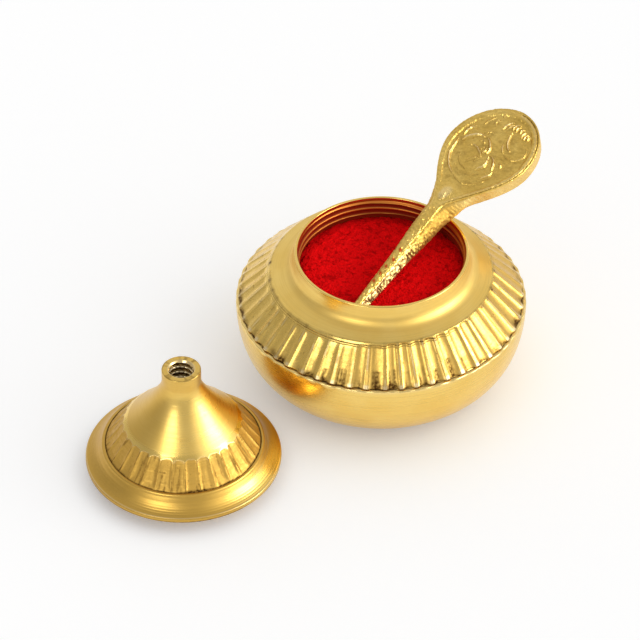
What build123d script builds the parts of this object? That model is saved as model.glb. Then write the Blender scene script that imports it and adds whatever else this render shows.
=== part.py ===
from build123d import *
from math import atan2, cos, degrees, pi, radians, sin, sqrt, tan
import os

# Brass kumkum box: a bowl with a fluted shoulder, a screw lid standing beside it and a cast
# applicator resting in the powder. Millimetres, +Z up. The origin is the centre of the foot.

# Bowl
BELLY_R = 32.0            # widest radius, at the lip
LIP_Z = 19.0              # height of the lip, where the shoulder is set in
FOOT_R = 15.0             # flat of the foot
FOOT_PULL = 12.0          # how far the floor runs on level before the side turns up
BELLY_PULL = 12.0         # how far the side hangs straight below the lip
BOWL_WALL = 1.8
FLOOR_T = 2.4
INSIDE_SHIFT = 0.5        # share of the wall by which the inner curve's foot moves in
LIP_T = 0.9               # lip left outside the seat of the shoulder
LIP_ROUND = 0.3
SEAT_H = 2.2              # depth of the seat inside the lip

# Shoulder and mouth
SEAM_GAP = 0.04           # soldered gap in both lap seams
LIP_SHOW = 0.45           # width of lip that shows outside the flutes
FLUTE_RUN = 7.05          # how far the flutes lean in
FLUTE_RISE = 7.4
POT_FLUTES = 52
POT_FLUTE_DEPTH = 0.42
FLUTE_END_STEP = 0.2      # the turned shoulder stands this far inside the ribs
SHOULDER_LIFT = 1.3       # rise of the turned shoulder
SHOULDER_WALL = 1.7
NECK_FOOT_T = 1.75        # thickness of the neck at its foot
NECK_H = 4.2
NECK_RING = 0.25          # fine turned step round the neck
MOUTH_R = 18.45           # bore of the neck, at the roots of its thread
RIM_T = 0.65
RIM_ROUND = 0.2

# Thread of mouth and lid
THREAD_PITCH = 1.6
THREAD_H = 0.5
THREAD_CLEAR = 0.15
THREAD_FOOT = 0.36        # half width of a thread's foot, in pitches
THREAD_CREST = 0.14       # half width of its crest, in pitches
THREAD_EMBED = 0.25       # how far its foot reaches into the wall
MOUTH_THREAD_INSET = 1.1  # plain bore above the mouth's thread
MOUTH_THREAD_L = 3.2
SPIGOT_THREAD_INSET = 0.75
SPIGOT_THREAD_L = 1.4

# Lid, standing on its spigot beside the pot
LID_BEARING = 218.75      # direction of the lid from the pot's axis, degrees from +X
LID_APART = 1.9           # clear space between brim and belly
SPIGOT_H = 2.9
SPIGOT_WALL = 1.6
BRIM_OVER = 2.9           # how far the brim stands out over the spigot
BRIM_T = 1.1
BRIM_SAG = 0.55           # hollow of the brim's upper face
COLLAR_H = 4.65           # height of the collar above the underside of the brim
COLLAR_T = 0.85
COLLAR_BEAD = 0.45
COLLAR_SEAT_H = 1.1
DOME_SET_IN = 1.45        # the dome's foot is this much smaller than the spigot
BAND_RUN = 3.85           # how far the fluted band leans in
BAND_RISE = 5.3
DOME_RISE = 38.0          # slope of the dome above the band, degrees
DOME_PULL = 3.8
DOME_H = 15.15            # height of dome and neck above the band
DOME_WALL = 1.6
LID_FLUTES = 32
LID_FLUTE_DEPTH = 0.4
FLUTE_SINK = 0.2          # the flutes run this far down inside the collar
LID_NECK_WALL = 1.27
LID_NECK_L = 3.05
LID_NECK_PULL = 3.2
SOCKET_R = 2.45           # crests of the socket's thread
SOCKET_THREAD_H = 0.5
SOCKET_PITCH = 1.4
SOCKET_L = 9.4
SOCKET_CHAMFER = 0.15

# Applicator
STEM_L = 32.2
STEM_TIP_W = 1.1          # flat of its top and bottom
STEM_TIP_CHEEK = 1.0      # how far its sides stand out in a ridge at half depth
STEM_TIP_T = 3.6
STEM_NECK_W = 2.75
STEM_NECK_CHEEK = 1.55
STEM_NECK_T = 5.6
KEEL_L = 12.0             # run of the stem's keel under the head
NOTCH_D = 0.3
NOTCH_SLANT = 18.0        # lean of the thread notches, degrees
NOTCH_END = 4.0           # plain stem at both ends
NOTCH_SHIFT = 0.25        # how far the notches of a side lead, in pitches
HEAD_L = 31.5
HEAD_W = 21.0
HEAD_WIDEST = 18.8        # distance of the widest place from the neck
HEAD_T = 3.3
HEAD_TURN = -5.5          # lean of the leaf from the stem, degrees
NECK_SWEEP = 3.5          # how far the stem runs on before the leaf widens
FLANK_PULL = 8.0
BORDER_W = 1.5
PANEL_D = 0.4
BOSS_L = 11.5
BOSS_W = 9.0
BOSS_BACK = 4.0           # the boss lies this far behind the widest place
STEM_BEARING = 54.5       # plan direction from tip to head, degrees from +X
STEM_RISE = 14.3
STEM_OFFSET = -4.0        # how far the stem passes from the pot's axis
REST_GAP = 0.25           # between stem and rim, and stem and powder
TIP_GAP = 1.0             # between the tip and the thread of the mouth

# Powder
POWDER_DROP = 5.4         # its surface below the rim
FILL_GAP = 0.1

# Radii and heights that follow
FLUTE_TOP_Z = LIP_Z + FLUTE_RISE
NECK_FOOT_Z = FLUTE_TOP_Z + SHOULDER_LIFT
RIM_Z = NECK_FOOT_Z + NECK_H
POWDER_Z = RIM_Z - POWDER_DROP
SEAT_Z = LIP_Z - SEAT_H
LIP_IN_R = BELLY_R - LIP_T
BOWL_IN_R = BELLY_R - BOWL_WALL
RIM_R = MOUTH_R + RIM_T
NECK_FOOT_R = MOUTH_R + NECK_FOOT_T
MOUTH_CREST_R = MOUTH_R - THREAD_H
POT_CONE_FOOT = (BELLY_R - LIP_SHOW, LIP_Z + SEAM_GAP)
POT_CONE_TOP = (POT_CONE_FOOT[0] - FLUTE_RUN, FLUTE_TOP_Z)
POT_SLOPE = FLUTE_RUN / (FLUTE_TOP_Z - POT_CONE_FOOT[1])
SHOULDER_FOOT = (POT_CONE_TOP[0] - FLUTE_END_STEP, FLUTE_TOP_Z)
SHOULDER_SLOPE = SHOULDER_LIFT / (SHOULDER_FOOT[0] - NECK_FOOT_R)
SPIGOT_R = MOUTH_R - THREAD_CLEAR
SPIGOT_CORE_R = MOUTH_CREST_R - THREAD_CLEAR
SPIGOT_IN_R = SPIGOT_CORE_R - SPIGOT_WALL
BRIM_R = SPIGOT_R + BRIM_OVER
COLLAR_Z = SPIGOT_H + COLLAR_H
COLLAR_SEAT_Z = COLLAR_Z - COLLAR_SEAT_H
DOME_BASE_R = SPIGOT_R - DOME_SET_IN
COLLAR_IN_R = DOME_BASE_R + SEAM_GAP
COLLAR_R = COLLAR_IN_R + COLLAR_T
BAND_Z = COLLAR_Z - FLUTE_SINK
DOME_FOOT_R = DOME_BASE_R - BAND_RUN
DOME_FOOT_Z = COLLAR_Z + BAND_RISE
DOME_SLOPE = BAND_RUN / (DOME_FOOT_Z - BAND_Z)
DOME_IN = LID_FLUTE_DEPTH + DOME_WALL * sqrt(1 + DOME_SLOPE**2)
LID_TOP_Z = DOME_FOOT_Z + DOME_H
LID_NECK_R = SOCKET_R + SOCKET_THREAD_H + LID_NECK_WALL
LID_REACH = BELLY_R + LID_APART + BRIM_R
LID_PLACE = Rot(0, 0, LID_BEARING) * Pos(LID_REACH, 0, 0) * Rot(0, 0, -LID_BEARING)
NECK_PLACE = Pos(STEM_L, 0, 0) * Rot(0, 0, HEAD_TURN)
STANDING = (Align.CENTER, Align.CENTER, Align.MIN)


def spun(*edges):
    """Turn a closed half profile, drawn as (radius, height), once round Z."""
    return revolve(Plane.XZ * make_face(list(edges)), Axis.Z)


def lines(*points):
    """Straight edges through the given points."""
    return Polyline(*points).edges()


def quarter(centre_r, centre_z, radius):
    """Quarter round from the outside of an edge to its top."""
    return CenterArc((centre_r, centre_z), radius, 0, 90)


def polar(radius, angle):
    return (radius * cos(angle), radius * sin(angle))


def fluted_face(radius, depth, count, height):
    """Level face bounded by equal hollow scoops that meet in sharp ribs."""
    step = 2 * pi / count
    scoops = []
    for i in range(count):
        start = polar(radius, i * step)
        middle = polar(radius - depth, (i + 0.5) * step)
        end = polar(radius, (i + 1) * step)
        scoops.append(ThreePointArc(start, middle, end))
    return Pos(0, 0, height) * make_face(scoops)


def fluted_cone(foot, top, depth, count):
    """Cone of scoops between two (radius, height) points, shallower as it narrows."""
    foot_face = fluted_face(foot[0], depth, count, foot[1])
    top_face = fluted_face(top[0], depth * top[0] / foot[0], count, top[1])
    return loft([foot_face, top_face], ruled=True)


def thread_ridge(root_r, crest_r, pitch, length, start_z):
    """Helical ridge that stands on a round wall and points in or out."""
    path = Pos(0, 0, start_z) * Helix(pitch, length, root_r)
    crest = crest_r - root_r
    root = -THREAD_EMBED if crest > 0 else THREAD_EMBED
    foot_w = THREAD_FOOT * pitch
    crest_w = THREAD_CREST * pitch
    section = lines((root, -foot_w), (crest, -crest_w), (crest, crest_w), (root, foot_w), (root, -foot_w))
    start = Plane(origin=path @ 0, x_dir=(1, 0, 0), z_dir=path % 0)
    return sweep(start * make_face(section), path=path, is_frenet=True)


def cone_r(z, foot, top):
    """Radius of a straight cone through two (radius, height) points."""
    return foot[0] + (top[0] - foot[0]) * (z - foot[1]) / (top[1] - foot[1])


def shoulder_under(radius):
    """Height of the shoulder's underside, one wall below its turned face."""
    face_z = FLUTE_TOP_Z + (SHOULDER_FOOT[0] - radius) * SHOULDER_SLOPE
    return face_z - SHOULDER_WALL * sqrt(1 + SHOULDER_SLOPE**2)


def flutes_under(z):
    """Radius of the hollow behind the flutes, one wall inside their ribs."""
    return cone_r(z, POT_CONE_FOOT, POT_CONE_TOP) - SHOULDER_WALL * sqrt(1 + POT_SLOPE**2)


def under_corner():
    """Where the hollow behind the flutes meets the underside of the turned shoulder."""
    start_r = flutes_under(LIP_Z)
    height = (shoulder_under(start_r) - LIP_Z) / (1 - POT_SLOPE * SHOULDER_SLOPE)
    return (start_r - POT_SLOPE * height, LIP_Z + height)


def bowl_side(inset, floor_z, top_z):
    """Curve of the bowl's side from floor to lip, moved in by a wall."""
    shift = inset * INSIDE_SHIFT
    foot = FOOT_R - shift
    turn = foot + FOOT_PULL - shift
    side = BELLY_R - inset
    return Bezier((foot, floor_z), (turn, floor_z), (side, LIP_Z - BELLY_PULL + shift), (side, top_z))


def make_bowl():
    outside = bowl_side(0, 0, LIP_Z - LIP_ROUND)
    lip = quarter(BELLY_R - LIP_ROUND, LIP_Z - LIP_ROUND, LIP_ROUND)
    inside = bowl_side(BOWL_WALL, FLOOR_T, SEAT_Z)
    seat = lines((BELLY_R - LIP_ROUND, LIP_Z), (LIP_IN_R, LIP_Z), (LIP_IN_R, SEAT_Z), (BOWL_IN_R, SEAT_Z))
    floor = lines(inside @ 0, (0, FLOOR_T), (0, 0), (FOOT_R, 0))
    return spun(outside, lip, *seat, inside, *floor)


def make_shoulder():
    flutes = fluted_cone(POT_CONE_FOOT, POT_CONE_TOP, POT_FLUTE_DEPTH, POT_FLUTES)
    ring_z = NECK_FOOT_Z + NECK_RING
    neck = lines((0, FLUTE_TOP_Z), SHOULDER_FOOT, (NECK_FOOT_R, NECK_FOOT_Z), (NECK_FOOT_R, ring_z),
                 (NECK_FOOT_R - NECK_RING, ring_z), (RIM_R, RIM_Z - RIM_ROUND))
    rim = quarter(RIM_R - RIM_ROUND, RIM_Z - RIM_ROUND, RIM_ROUND)
    core = lines((RIM_R - RIM_ROUND, RIM_Z), (0, RIM_Z), (0, FLUTE_TOP_Z))
    turned = spun(*neck, rim, *core)
    skirt_z = SEAT_Z + SEAM_GAP
    skirt_r = LIP_IN_R - SEAM_GAP
    top_z = POT_CONE_FOOT[1]
    skirt = spun(*lines((0, skirt_z), (skirt_r, skirt_z), (skirt_r, top_z), (0, top_z), (0, skirt_z)))
    hollow_r = flutes_under(LIP_Z)
    hollow = spun(*lines((0, skirt_z), (hollow_r, skirt_z), (hollow_r, LIP_Z), under_corner(),
                         (MOUTH_R, shoulder_under(MOUTH_R)), (MOUTH_R, RIM_Z), (0, RIM_Z), (0, skirt_z)))
    thread_z = RIM_Z - MOUTH_THREAD_INSET - MOUTH_THREAD_L
    thread = thread_ridge(MOUTH_R, MOUTH_CREST_R, THREAD_PITCH, MOUTH_THREAD_L, thread_z)
    return flutes + turned + skirt - hollow + thread


def dome_hollow_r(z):
    """Radius of the hollow behind the lid's flutes."""
    return cone_r(z, (DOME_BASE_R, BAND_Z), (DOME_FOOT_R, DOME_FOOT_Z)) - DOME_IN


def make_lid_ring():
    brim_top = SPIGOT_H + BRIM_T
    bead_z = COLLAR_Z - COLLAR_BEAD
    middle = ((BRIM_R + COLLAR_R) / 2 - BRIM_SAG, (brim_top + bead_z) / 2 - BRIM_SAG)
    face = ThreePointArc((BRIM_R, brim_top), middle, (COLLAR_R, bead_z))
    bead = quarter(COLLAR_R - COLLAR_BEAD, bead_z, COLLAR_BEAD)
    spigot = lines((SPIGOT_IN_R, 0), (SPIGOT_CORE_R, 0), (SPIGOT_CORE_R, SPIGOT_H), (BRIM_R, SPIGOT_H),
                   (BRIM_R, brim_top))
    seat = lines((COLLAR_R - COLLAR_BEAD, COLLAR_Z), (COLLAR_IN_R, COLLAR_Z), (COLLAR_IN_R, COLLAR_SEAT_Z),
                 (dome_hollow_r(COLLAR_SEAT_Z), COLLAR_SEAT_Z), (SPIGOT_IN_R, SPIGOT_H), (SPIGOT_IN_R, 0))
    body = spun(*spigot, face, bead, *seat)
    thread = thread_ridge(SPIGOT_CORE_R, SPIGOT_R, THREAD_PITCH, SPIGOT_THREAD_L, SPIGOT_THREAD_INSET)
    return LID_PLACE * (body + thread)


def make_lid_dome():
    base_z = COLLAR_SEAT_Z + SEAM_GAP
    neck_z = LID_TOP_Z - LID_NECK_L
    rise = radians(DOME_RISE)
    swell = Bezier((DOME_FOOT_R, DOME_FOOT_Z),
                   (DOME_FOOT_R - DOME_PULL * cos(rise), DOME_FOOT_Z + DOME_PULL * sin(rise)),
                   (LID_NECK_R, neck_z - LID_NECK_PULL), (LID_NECK_R, neck_z))
    # The smooth dome carried on outwards over the band, where it cuts the flutes off in arches
    edge_r = DOME_BASE_R + BAND_RUN
    edge_z = max(DOME_FOOT_Z - (edge_r - DOME_FOOT_R) * tan(rise), COLLAR_Z)
    bell = spun(*lines((0, base_z), (DOME_BASE_R, base_z), (DOME_BASE_R, BAND_Z), (edge_r, BAND_Z),
                       (edge_r, edge_z), (DOME_FOOT_R, DOME_FOOT_Z)),
                swell,
                *lines((LID_NECK_R, neck_z), (LID_NECK_R, LID_TOP_Z), (0, LID_TOP_Z), (0, base_z)))
    over_z = DOME_FOOT_Z + BAND_RISE
    over_r = cone_r(over_z, (DOME_BASE_R, BAND_Z), (DOME_FOOT_R, DOME_FOOT_Z))
    fluted = fluted_cone((DOME_BASE_R, BAND_Z), (over_r, over_z), LID_FLUTE_DEPTH, LID_FLUTES)
    around = Pos(0, 0, BAND_Z) * Cylinder(edge_r + BAND_RUN, over_z - BAND_Z, align=STANDING) - fluted
    socket_z = LID_TOP_Z - SOCKET_L
    inner_z = DOME_FOOT_Z - DOME_WALL / 2
    hollow = spun(*lines((0, base_z), (dome_hollow_r(base_z), base_z), (dome_hollow_r(inner_z), inner_z),
                         (SOCKET_R + SOCKET_THREAD_H, socket_z), (SOCKET_R, socket_z + SOCKET_THREAD_H),
                         (SOCKET_R, LID_TOP_Z - SOCKET_CHAMFER), (SOCKET_R + SOCKET_CHAMFER, LID_TOP_Z),
                         (0, LID_TOP_Z), (0, base_z)))
    groove = thread_ridge(SOCKET_R, SOCKET_R + SOCKET_THREAD_H, SOCKET_PITCH, SOCKET_L,
                          socket_z + SOCKET_PITCH)
    return LID_PLACE * (bell - around - hollow - groove)


# The applicator is drawn flat, with its tip at the origin, its top face level and its head along +X
def leaf_face(inset):
    """Outline of the leaf, drawn in by an even border."""
    half = HEAD_W / 2 - inset
    start = NECK_SWEEP * inset / BORDER_W
    neck = STEM_NECK_W / 2
    flank = Bezier((start, neck), (start + NECK_SWEEP, neck), (HEAD_WIDEST - FLANK_PULL + inset, half),
                   (HEAD_WIDEST, half))
    end = EllipticalCenterArc((HEAD_WIDEST, 0), HEAD_L - HEAD_WIDEST - inset, half, -90, arc_size=180)
    foot = Line((start, -neck), (start, neck))
    return make_face([flank, mirror(flank, Plane.XZ).edge(), end, foot])


def stem_width(x):
    return STEM_TIP_W + (STEM_NECK_W - STEM_TIP_W) * x / STEM_L


def stem_depth(x):
    """Depth of the stem below its top face, and of the keel that carries on under the head."""
    if x <= STEM_L:
        return STEM_TIP_T + (STEM_NECK_T - STEM_TIP_T) * x / STEM_L
    return STEM_NECK_T + (HEAD_T - STEM_NECK_T) * min(x - STEM_L, KEEL_L) / KEEL_L


def stem_cheek(x):
    """How far the ridge of each side stands out beyond the flats."""
    return STEM_TIP_CHEEK + (STEM_NECK_CHEEK - STEM_TIP_CHEEK) * min(x, STEM_L) / STEM_L


def stem_section(x, width, room):
    """Six-sided upright section of stem or keel, hung below the top face, with room all round it."""
    depth = stem_depth(x)
    flat = width / 2 + room
    ridge = (flat + stem_cheek(x), -depth / 2)
    outline = Polyline((-flat, room), (flat, room), ridge, (flat, -depth - room), (-flat, -depth - room),
                       (-ridge[0], ridge[1]), (-flat, room))
    return Plane(origin=(x, 0, 0), x_dir=(0, 1, 0), z_dir=(1, 0, 0)) * make_face(outline.edges())


def stem_bar(room):
    """Tapered bar from tip to neck."""
    tip = Pos(-room, 0, 0) * stem_section(0, STEM_TIP_W, room)
    return loft([tip, stem_section(STEM_L, STEM_NECK_W, room)], ruled=True)


def stem_notches():
    """Thread notches across both upper sides of the stem, leaning like a screw's turns."""
    side = NOTCH_D * sqrt(2)
    cutter = Rot(0, NOTCH_SLANT, 0) * Rot(0, 0, 45) * Box(side, side, 2 * STEM_NECK_T)
    cuts = []
    for i in range(int((STEM_L - 2 * NOTCH_END) / SOCKET_PITCH)):
        for hand in (1, -1):
            x = NOTCH_END + (i + NOTCH_SHIFT * hand) * SOCKET_PITCH
            cheek = stem_cheek(x)
            depth = stem_depth(x)
            middle = Pos(x, hand * (stem_width(x) + cheek) / 2, -depth / 4)
            cuts.append(middle * Rot(hand * degrees(atan2(cheek, depth / 2)), 0, 0) * cutter)
    return cuts


def make_applicator_flat():
    panel = extrude(leaf_face(BORDER_W), -PANEL_D)
    boss = Pos(HEAD_WIDEST - BOSS_BACK, 0, -PANEL_D) * extrude(Ellipse(BOSS_L / 2, BOSS_W / 2), PANEL_D)
    head = NECK_PLACE * (extrude(leaf_face(0), -HEAD_T) - panel + boss)
    keel_end = stem_section(STEM_L + KEEL_L, STEM_NECK_W, 0)
    keel = loft([stem_section(STEM_L, STEM_NECK_W, 0), keel_end], ruled=True) - NECK_PLACE * panel
    return stem_bar(0) - stem_notches() + keel + head


def applicator_place():
    """Lay the stem on the rim, with its tip just inside the mouth's thread."""
    rise = radians(STEM_RISE)
    tip_run = -sqrt((MOUTH_CREST_R - TIP_GAP) ** 2 - STEM_OFFSET**2)
    reach = sqrt(MOUTH_R**2 - (abs(STEM_OFFSET) + STEM_NECK_W / 2) ** 2) - tip_run
    depth = stem_depth(reach / cos(rise) - STEM_NECK_T * tan(rise))
    bottom_lift = (reach - depth * sin(rise)) * tan(rise) - depth * cos(rise)
    tip = (tip_run, STEM_OFFSET, RIM_Z + REST_GAP - bottom_lift)
    return Rot(0, 0, STEM_BEARING) * Pos(*tip) * Rot(0, -STEM_RISE, 0)


def make_kumkum():
    inside = bowl_side(BOWL_WALL + FILL_GAP, FLOOR_T, SEAT_Z)
    floor_z = FLOOR_T + FILL_GAP
    skirt_r = flutes_under(LIP_Z) - FILL_GAP
    corner_r, corner_z = under_corner()
    top_r = MOUTH_R - FILL_GAP
    cavity = spun(inside, *lines(inside @ 1, (skirt_r, SEAT_Z), (skirt_r, LIP_Z),
                                 (corner_r - FILL_GAP, corner_z - FILL_GAP),
                                 (top_r, shoulder_under(MOUTH_R) - FILL_GAP), (top_r, RIM_Z), (0, RIM_Z),
                                 (0, FLOOR_T), inside @ 0))
    level = Pos(0, 0, floor_z) * Cylinder(BELLY_R, POWDER_Z - floor_z, align=STANDING)
    return (cavity & level) - applicator_place() * stem_bar(REST_GAP)


def main():
    os.makedirs("parts", exist_ok=True)
    pieces = {"bowl": make_bowl(), "shoulder": make_shoulder(), "kumkum": make_kumkum(),
              "lid_ring": make_lid_ring(), "lid_dome": make_lid_dome(),
              "applicator": applicator_place() * make_applicator_flat()}
    for name, piece in pieces.items():
        export_step(piece, f"parts/{name}.step")


if __name__ == "__main__":
    main()
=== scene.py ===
from math import cos, pi, radians, sin, sqrt, tan

import bpy
import numpy as np
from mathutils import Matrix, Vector


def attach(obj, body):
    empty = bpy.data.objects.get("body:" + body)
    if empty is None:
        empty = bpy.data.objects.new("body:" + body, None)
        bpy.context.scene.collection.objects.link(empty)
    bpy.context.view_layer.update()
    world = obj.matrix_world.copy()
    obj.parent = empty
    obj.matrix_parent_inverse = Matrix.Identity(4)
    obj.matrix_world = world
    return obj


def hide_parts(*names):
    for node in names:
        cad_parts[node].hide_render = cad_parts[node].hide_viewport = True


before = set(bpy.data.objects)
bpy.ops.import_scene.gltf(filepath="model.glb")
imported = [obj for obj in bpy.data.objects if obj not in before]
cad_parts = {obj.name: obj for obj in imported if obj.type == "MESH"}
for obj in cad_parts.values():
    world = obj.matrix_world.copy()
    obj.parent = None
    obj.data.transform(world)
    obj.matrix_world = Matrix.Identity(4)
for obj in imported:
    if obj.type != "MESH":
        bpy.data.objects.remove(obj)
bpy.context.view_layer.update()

# Brass kumkum box. Sizes are in millimetres and become metres when a mesh is made.
MM = 0.001
chance = np.random.default_rng(11)

# Bowl
BELLY_R, LIP_Z, LIP_ROUND, FOOT_R = 32.0, 19.0, 0.3, 15.0
FOOT_PULL, BELLY_PULL = 12.0, 12.0
SEAT_R, SEAT_Z = 31.1, 16.8
BOWL_IN_R, FLOOR_IN_R, FLOOR_T = 30.2, 14.1, 2.4
INNER_PULL_R, INNER_PULL_Z = 25.2, 7.9

# Shoulder and powder
FLUTE_FOOT_R, FLUTE_TOP_R, FLUTE_TOP_Z = 31.55, 24.5, 26.4
POT_FLUTES, POT_FLUTE_DEPTH = 52, 0.42
SKIRT_R, SKIRT_IN_R, SKIRT_Z = 31.06, 29.23, 16.84
HOLLOW_R, HOLLOW_Z = 23.65, 24.82
MOUTH_R, RIM_R, RIM_Z = 18.45, 19.1, 31.9
BORE_TOP_Z, BORE_FOOT_Z = 31.72, 26.47
THREAD_PITCH, THREAD_H = 1.6, 0.5
POWDER_Z, POWDER_R, POWDER_EDGE_Z, FILL_GAP = 26.5, 18.35, 26.3, 0.1
FURROW_DEEPENS, FURROW_WIDENS, FURROW_UNDER, FURROW_SIDE = 0.0621, 0.0256, 0.35, 0.3

# Lid, round its own axis
LID_AXIS = (55.1 * cos(radians(218.75)), 55.1 * sin(radians(218.75)))
SPIGOT_CORE_R, SPIGOT_IN_R, SPIGOT_H = 17.8, 16.2, 2.9
BRIM_R, BRIM_TOP, RING_IN_R = 21.2, 4.0, 15.13
COLLAR_R, COLLAR_IN_R, COLLAR_Z, COLLAR_SEAT_Z = 17.74, 16.89, 7.55, 6.45
DOME_IN_R, DOME_Z = 15.1, 6.49
DOME_BASE_R, DOME_FOOT_R, DOME_FOOT_Z, BAND_Z = 16.85, 13.0, 12.85, 7.35
LID_FLUTES, LID_FLUTE_DEPTH = 32, 0.36
BELL_RISE, BELL_PULL_R, BELL_PULL_Z, NECK_PULL = 38.0, 2.995, 2.34, 3.2
LID_NECK_R, LID_NECK_Z, LID_TOP_Z = 4.22, 24.95, 28.0
SOCKET_R, SOCKET_H, SOCKET_PITCH, SOCKET_Z, SOCKET_BEVEL = 2.45, 0.5, 1.4, 18.6, 0.45

# Applicator, along its own stem
STEM_L, STEM_TIP_HALF, STEM_NECK_HALF = 32.2, 0.55, 1.375
STEM_TIP_T, STEM_NECK_T, KEEL_L = 3.6, 5.6, 12.0
STEM_TIP_CHEEK, STEM_NECK_CHEEK, NOTCH_PITCH = 1.0, 1.55, 0.95
HEAD_L, HEAD_W, HEAD_WIDEST, HEAD_T = 31.5, 21.0, 18.8, 3.3
NECK_SWEEP, FLANK_PULL = 3.5, 8.0
STEM_BEARING, STEM_RISE, HEAD_TURN = 54.5, 14.3, -5.5
STEM_TIP = (-16.4713, -4.0, 28.8774)

# Colours
GOLD, GOLD_DARK = (0.93, 0.655, 0.19), (0.89, 0.6, 0.15)
CAST_GOLD, CAST_DARK = (0.87, 0.6, 0.155), (0.74, 0.48, 0.1)
# TARNISH_AND_SHADE and DIRT_AND_SHADE also serve as painted shade, and BRIGHT as painted highlight
TARNISH_AND_SHADE, BRIGHT, DIRT_AND_SHADE = (0.62, 0.36, 0.065), (1.0, 0.85, 0.55), (0.085, 0.034, 0.007)
RUST, DARK_RED, BRIGHT_RED = (0.6, 0.2, 0.035), (0.22, 0.008, 0.002), (0.6, 0.012, 0.01)
POWDER_RED, POWDER_PALE = (0.92, 0.003, 0.004), (1.0, 0.005, 0.007)
POWDER_CLUMP, POWDER_SHADE = (0.48, 0.0013, 0.0018), (0.22, 0.0008, 0.001)


# Curves and waves
def smooth(a, b, x):
    """Smooth step from 0 at a to 1 at b."""
    t = np.clip((x - a) / (b - a), 0, 1)
    return t * t * (3 - 2 * t)


def hump(x, at, width):
    """Rounded peak of height 1."""
    return np.exp(-(((x - at) / width) ** 2))


def line(a, b, count):
    """Points from a towards b, without b."""
    t = np.linspace(0, 1, count, endpoint=False)[:, None]
    return np.array(a) * (1 - t) + np.array(b) * t


def chain(points, counts):
    """Points along straight runs from the first point towards the last, without the last."""
    return np.concatenate([line(a, b, count) for a, b, count in zip(points, points[1:], counts)])


def bend(a, b, c, d, count):
    """Points of a cubic curve from a towards d, without d."""
    t = np.linspace(0, 1, count, endpoint=False)[:, None]
    a, b, c, d = (np.array(p, float) for p in (a, b, c, d))
    return a * (1 - t) ** 3 + 3 * b * t * (1 - t) ** 2 + 3 * c * t**2 * (1 - t) + d * t**3


def ripple(x, y, count, low, high, seed):
    """Smooth irregular waves over two coordinates, about one high."""
    r = np.random.default_rng(seed)
    total = np.zeros(np.broadcast(x, y).shape)
    for _ in range(count):
        f = r.uniform(low, high)
        a = r.uniform(0, 2 * pi)
        total = total + np.sin(f * (x * cos(a) + y * sin(a)) + r.uniform(0, 2 * pi))
    return total / sqrt(count)


def sector(bearing, rise, fall):
    """1 between two bearings, with a soft edge on each side, in degrees."""
    start = smooth(radians(rise[0]), radians(rise[1]), bearing)
    return start * (1 - smooth(radians(fall[0]), radians(fall[1]), bearing))


def front_right(angle):
    """1 on the side of the lid that faces the front and right, 0 behind."""
    return smooth(-0.4, 0.8, 0.5 * np.cos(angle) - np.sin(angle))


def helix_ridge(angle, height, pitch, low, high, foot=0.36, crest=0.14):
    """Height of a screw ridge, from 0 to 1, faded out at its ends."""
    phase = np.abs((height / pitch - angle / (2 * pi) + 0.5) % 1 - 0.5)
    ridge = 1 - smooth(crest, foot, phase)
    return ridge * smooth(low - 0.3, low + 0.3, height) * (1 - smooth(high - 0.3, high + 0.3, height))


class Scoops:
    """Hollow flutes of uneven width and depth round an axis, with samples crowded at their ribs."""

    half = np.array([0.03, 0.06, 0.09, 0.13, 0.18, 0.25, 0.33, 0.42])
    spread = np.concatenate([[0], half, [0.5], 1 - half[::-1]])

    def __init__(self, count, wobble, uneven, turn=0.0):
        widths = 1 + wobble * chance.uniform(-1, 1, count)
        edges = np.concatenate([[0], np.cumsum(widths / widths.sum())]) * 2 * pi + turn
        index = np.repeat(np.arange(count), len(self.spread))
        self.t = np.tile(self.spread, count)
        self.angle = edges[index] + (edges[1:] - edges[:-1])[index] * self.t
        self.depth = (1 + uneven * chance.uniform(-1, 1, count))[index]
        self.lean = (0.5 * chance.uniform(-1, 1, count))[index]
        self.lift = chance.uniform(-1, 1, count)[index]

    def hollow(self, flat=2.0, soft=0.012, land=0.0):
        """Depth of the scoop across its width, from 0 on the land of a rib to about 1."""
        off = np.sqrt(np.minimum(self.t, 1 - self.t) ** 2 + soft**2) - soft
        off = 0.5 * np.clip((off - land) / (0.5 - land), 0, 1)
        side = np.where(self.t < 0.5, off, 1 - off)
        return (1 - np.abs(2 * side - 1) ** flat) * (1 + self.lean * (side - 0.5)) * self.depth

    def rib(self, width):
        """1 on a rib, falling to 0 away from it."""
        return 1 - smooth(0, width, np.minimum(self.t, 1 - self.t))


# Meshes
def make_mesh(name, points, quads, triangles, marks, sharp):
    """Closed mesh from points in millimetres, with its faces turned outwards."""
    points = np.asarray(points, float) * MM
    quads = np.asarray(quads, np.int64).reshape(-1, 4)
    triangles = np.asarray(triangles, np.int64).reshape(-1, 3)
    fan = np.concatenate([quads[:, [0, 1, 2]], quads[:, [0, 2, 3]], triangles])
    a, b, c = (points[fan[:, i]] for i in range(3))
    if np.einsum("ij,ij->", a, np.cross(b, c)) < 0:
        quads = quads[:, ::-1]
        triangles = triangles[:, ::-1]
    mesh = bpy.data.meshes.new(name)
    corners = np.concatenate([quads.ravel(), triangles.ravel()])
    quad_starts = np.arange(len(quads)) * 4
    starts = np.concatenate([quad_starts, len(quads) * 4 + np.arange(len(triangles)) * 3])
    mesh.vertices.add(len(points))
    mesh.vertices.foreach_set("co", points.astype(np.float32).ravel())
    mesh.loops.add(len(corners))
    mesh.loops.foreach_set("vertex_index", corners.astype(np.int32))
    mesh.polygons.add(len(starts))
    mesh.polygons.foreach_set("loop_start", starts.astype(np.int32))
    mesh.update(calc_edges=True)
    mesh.validate()
    mesh.polygons.foreach_set("use_smooth", np.ones(len(mesh.polygons), bool))
    mesh.set_sharp_from_angle(angle=radians(sharp))
    for key, values in marks.items():
        mark = mesh.attributes.new(key, "FLOAT", "POINT")
        mark.data.foreach_set("value", np.asarray(values, np.float32).ravel())
    return bpy.data.objects.new(name, mesh)


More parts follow.
